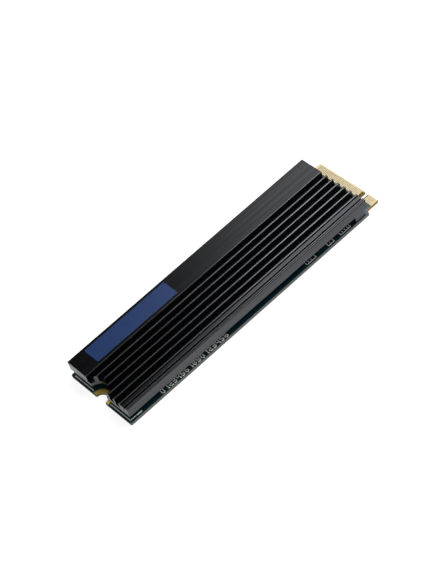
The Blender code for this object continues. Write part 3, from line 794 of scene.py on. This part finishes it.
class DRIVE_OT_heatsink(bpy.types.Operator):
    """Dress the finned heatsink, with its long corners broken"""

    bl_idname = "drive.heatsink"
    bl_label = "Heatsink"

    def execute(self, context):
        settings = context.scene.drive_heatsink
        bm = cad_copy("heatsink")
        self.refine_profile(bm)
        soften(bm, settings.edge / MM, chosen=lambda edge: along(edge, 1) > 1)
        spacing = settings.streak_spacing / MM
        drawn, sawn = (spacing, 60, spacing), (30, 1, spacing / 2)
        gleam, brushed_gleam, sawn_gleam = settings.gleam, settings.brushed_gleam, settings.gleam * 0.42
        finishes = painted(
            bm,
            anodised_aluminium("black_anodised_aluminium", settings, gleam, drawn),
            (
                anodised_aluminium("brushed_anodised_aluminium", settings, brushed_gleam, drawn),
                lambda centre, normal: normal.z > SQUARE and centre.x < BLOCK_RIGHT,
            ),
            (
                anodised_aluminium("sawn_anodised_aluminium", settings, sawn_gleam, sawn),
                lambda centre, normal: abs(normal.y) > SQUARE,
            ),
        )
        link_piece(bm, "heatsink_extrusion", finishes, ["heatsink"])
        return {"FINISHED"}

    def refine_profile(self, bm):
        """Draws the corner between the last fin and the rail tight, and lifts the ledge by the lip."""
        for vert in bm.verts:
            x, z = vert.co.x, vert.co.z
            in_fillet = FINS_RIGHT - MERGE < x < FINS_RIGHT + FILLET + MERGE
            if in_fillet and RAIL_TOP - MERGE < z < RAIL_TOP + FILLET:
                vert.co.x, vert.co.z = FINS_RIGHT, RAIL_TOP
            elif x > LIP_RIGHT - MERGE and LEDGE_TOP - LEDGE_ROUNDING < z < LEDGE_TOP + MERGE:
                vert.co.z += LEDGE_LIFT
        bmesh.ops.remove_doubles(bm, verts=bm.verts, dist=MERGE)


class DRIVE_OT_label(bpy.types.Operator):
    """Dress the label film and seat it on the heatsink's block"""

    bl_idname = "drive.label"
    bl_label = "Label"

    def execute(self, context):
        settings = context.scene.drive_heatsink
        glue = 0.005
        bm = cad_copy("heatsink_label")
        seated = SINK_HIGH.z + glue - cad_box("heatsink_label")[0].z
        bmesh.ops.translate(bm, vec=(0, 0, seated), verts=bm.verts)
        soften(bm, settings.label_edge / MM)
        film = label_film(settings)
        link_piece(bm, "label_film", [film], ["heatsink_label"])
        return {"FINISHED"}


class DRIVE_OT_packages(bpy.types.Operator):
    """Dress the moulded packages, with solder on their balls and leads"""

    bl_idname = "drive.packages"
    bl_label = "Moulded packages"

    def execute(self, context):
        grids = ("flash_memory_1", "flash_memory_2", "cache_memory", "controller")
        leaded = ("power_manager", "load_switch", "firmware_memory", "temperature_sensor")
        mould, solder = mould_compound(), tin_solder()
        ball_top, foot_top = PACKAGE_BASE - 0.02, PACKAGE_BASE - 0.16
        for node in grids:
            self.dress(node, mould, solder, ball_top)
        for node in leaded:
            self.dress(node, mould, solder, foot_top)
        return {"FINISHED"}

    def dress(self, node, mould, solder, solder_top):
        """Solder up to the height given, and at each lead's outer end."""
        skin, lead_top = 0.0126, BOARD_TOP + 0.35
        bm = cad_copy(node)
        low, high = cad_box(node)

        def is_solder(centre, normal):
            outside = any(min(centre[k] - low[k], high[k] - centre[k]) < skin for k in (0, 1))
            return centre.z < solder_top or (outside and centre.z < lead_top)

        finishes = painted(bm, mould, (solder, is_solder))
        link_piece(bm, node + "_package", finishes, [node])


class DRIVE_OT_chips(bpy.types.Operator):
    """Dress the small two-ended parts and the crystal, each with its own body and tinned ends"""

    bl_idname = "drive.chips"
    bl_label = "Small parts"

    def execute(self, context):
        edge = context.scene.drive_chips.chip_edge / MM
        kinds = {
            "ceramic_capacitor": (dielectric_ceramic(), "barium_titanate", 0.25),
            "chip_resistor": (resistor_glaze(), "resistor_glaze", 0.25),
            "power_inductor": (pressed_iron(), "ferrite", 0.25),
            "holdup_capacitor": (capacitor_moulding(), "tantalum_moulding", 0.2),
        }
        for node in sorted(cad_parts):
            kind = node.rstrip("0123456789").rstrip("_")
            if kind in kinds:
                self.dress(node, *kinds[kind], edge, tabs_only=kind == "holdup_capacitor")
        self.crystal()
        return {"FINISHED"}

    def dress(self, node, body, slot, cap, edge, tabs_only):
        """Tins a share of the longer side at each end: all round, or only at the foot of a moulded
        case."""
        low, high = cad_box(node)
        longer = 0 if high.x - low.x > high.y - low.y else 1
        short_of_cap, foot_height = 0.98, 0.3
        reach = (high[longer] - low[longer]) * cap * short_of_cap
        foot = low.z + foot_height

        def is_end(centre, normal):
            at_end = min(centre[longer] - low[longer], high[longer] - centre[longer]) < reach
            return at_end and (not tabs_only or centre.z < foot)

        bm = cad_copy(node)
        finishes = painted(bm, body, (tin_solder(), is_end))
        soften(bm, edge, 1)
        link_piece(bm, node + "_chip", finishes, [node])

    def crystal(self):
        """A ceramic base under a plated lid."""
        low, high = cad_box("clock_crystal")
        over_middle = 0.06
        lid_low = (low.z + high.z) / 2 + over_middle
        bm = cad_copy("clock_crystal")
        finishes = painted(bm, alumina(), (plated_lid(), lambda centre, normal: centre.z > lid_low))
        link_piece(bm, "clock_crystal_can", finishes, ["clock_crystal"])


class DRIVE_OT_pads(bpy.types.Operator):
    """Dress the thermal pads, with their soft edges pressed round"""

    bl_idname = "drive.pads"
    bl_label = "Thermal pads"

    def execute(self, context):
        bulge = context.scene.drive_chips.pad_bulge / MM
        silicone = filled_silicone()
        for node in ("thermal_pad_flash", "thermal_pad_cache", "thermal_pad_controller"):
            bm = cad_copy(node)
            soften(bm, bulge, 3, chosen=lambda edge: along(edge, 2) < MERGE)
            link_piece(bm, node + "_sheet", [silicone], [node])
        return {"FINISHED"}


class DRIVE_OT_stage(bpy.types.Operator):
    """Set the floor, the softboxes, the room and the camera"""

    bl_idname = "drive.stage"
    bl_label = "Stage"

    def execute(self, context):
        settings = context.scene.drive_stage
        self.floor(settings)
        self.softbox("left_softbox", (-0.4, 0.66, 0.62), 0.8, 0.62, 0.62, settings.left_radiance)
        self.softbox("back_softbox", (0.02, 0.62, 0.76), 0.8, 0.62, 0.6, settings.back_radiance)
        self.softbox("top_softbox", (0.03, 0.12, 0.98), 0.9, 0.62, 0.5, settings.top_radiance)
        self.softbox("front_fill", (0.8, -0.45, 0.4), 0.8, 0.3, 0.3, settings.fill_radiance)
        self.room(context.scene, settings)
        self.camera(context.scene, settings)
        return {"FINISHED"}

    def floor(self, settings):
        """A paper sweep. It glows a little for the camera and in reflections, so that it looks
        white there with no more light on the drive, and it keeps the drive's shadow."""
        half, drop = 2, 0.00002
        bm = bmesh.new()
        bmesh.ops.create_grid(bm, x_segments=1, y_segments=1, size=half)
        bmesh.ops.translate(bm, vec=(0, 0, -drop), verts=bm.verts)
        mesh = bpy.data.meshes.new("floor")
        bm.to_mesh(mesh)
        bm.free()
        paper, tree, shader = new_material("white_paper", settings.floor, 0.8)
        path = add_node(tree, "ShaderNodeLightPath")
        glow = 0.0
        for ray, radiance in (
            ("Is Camera Ray", settings.floor_glow),
            ("Is Transmission Ray", settings.floor_glow),
            ("Is Glossy Ray", settings.floor_gleam),
        ):
            inputs = {0: path.outputs[ray], 1: radiance, 2: glow}
            glow = add_node(tree, "ShaderNodeMath", inputs, operation="MULTIPLY_ADD").outputs[0]
        shader.inputs["Emission Color"].default_value = (1, 1, 1, 1)
        tree.links.new(glow, shader.inputs["Emission Strength"])
        mesh.materials.append(paper)
        floor = bpy.data.objects.new("floor", mesh)
        bpy.context.scene.collection.objects.link(floor)

    def softbox(self, name, direction, distance, width, height, radiance):
        """A flat panel that faces the drive, its width level. Sizes are in metres."""
        light = bpy.data.lights.new(name, "AREA")
        light.shape = "RECTANGLE"
        light.size, light.size_y = width, height
        light.energy = radiance * math.pi * width * height
        lamp = bpy.data.objects.new(name, light)
        towards = Vector(direction).normalized()
        lamp.location = towards * distance
        lamp.rotation_euler = towards.to_track_quat("Z", "Y").to_euler()
        bpy.context.scene.collection.objects.link(lamp)

    def room(self, scene, settings):
        """The room's even light, and how the picture turns light into colour."""
        world = bpy.data.worlds.new("room")
        world.use_nodes = True
        background = world.node_tree.nodes["Background"]
        background.inputs["Color"].default_value = (1, 1, 1, 1)
        background.inputs["Strength"].default_value = settings.room
        scene.world = world
        scene.view_settings.view_transform = "Standard"

    def camera(self, scene, settings):
        """The photograph's viewpoint, solved from the board's corners."""
        lens = bpy.data.cameras.new("camera")
        lens.lens, lens.sensor_width, lens.sensor_fit = settings.lens, 36, "AUTO"
        lens.clip_start, lens.clip_end = 0.01, 10
        camera = bpy.data.objects.new("camera", lens)
        camera.location = (0.27545, -0.13584, 0.34591)
        camera.rotation_euler = [math.radians(angle) for angle in (39.843, 14.0965, 48.0043)]
        scene.collection.objects.link(camera)
        scene.camera = camera


OPERATORS = (
    DRIVE_OT_board,
    DRIVE_OT_print,
    DRIVE_OT_traces,
    DRIVE_OT_packages,
    DRIVE_OT_chips,
    DRIVE_OT_pads,
    DRIVE_OT_heatsink,
    DRIVE_OT_label,
    DRIVE_OT_stage,
)


class DRIVE_PT_panel(bpy.types.Panel):
    """Lists the pieces in the order in which they are made"""

    bl_idname = "DRIVE_PT_panel"
    bl_label = "Gumstick drive"
    bl_space_type = "VIEW_3D"
    bl_region_type = "UI"
    bl_category = "Drive"

    def draw(self, context):
        for operator in OPERATORS:
            self.layout.operator(operator.bl_idname)


SETTINGS = {
    "drive_board": BoardSettings,
    "drive_heatsink": HeatsinkSettings,
    "drive_chips": ChipSettings,
    "drive_stage": StageSettings,
}
CLASSES = (*SETTINGS.values(), *OPERATORS, DRIVE_PT_panel)


def register():
    for cls in CLASSES:
        bpy.utils.register_class(cls)
    for name, group in SETTINGS.items():
        setattr(bpy.types.Scene, name, PointerProperty(type=group))


def unregister():
    for name in SETTINGS:
        delattr(bpy.types.Scene, name)
    for cls in reversed(CLASSES):
        bpy.utils.unregister_class(cls)


def main():
    register()
    for piece in ("board", "print", "traces", "packages", "chips", "pads", "heatsink", "label", "stage"):
        getattr(bpy.ops.drive, piece)()


if __name__ == "__main__":
    main()
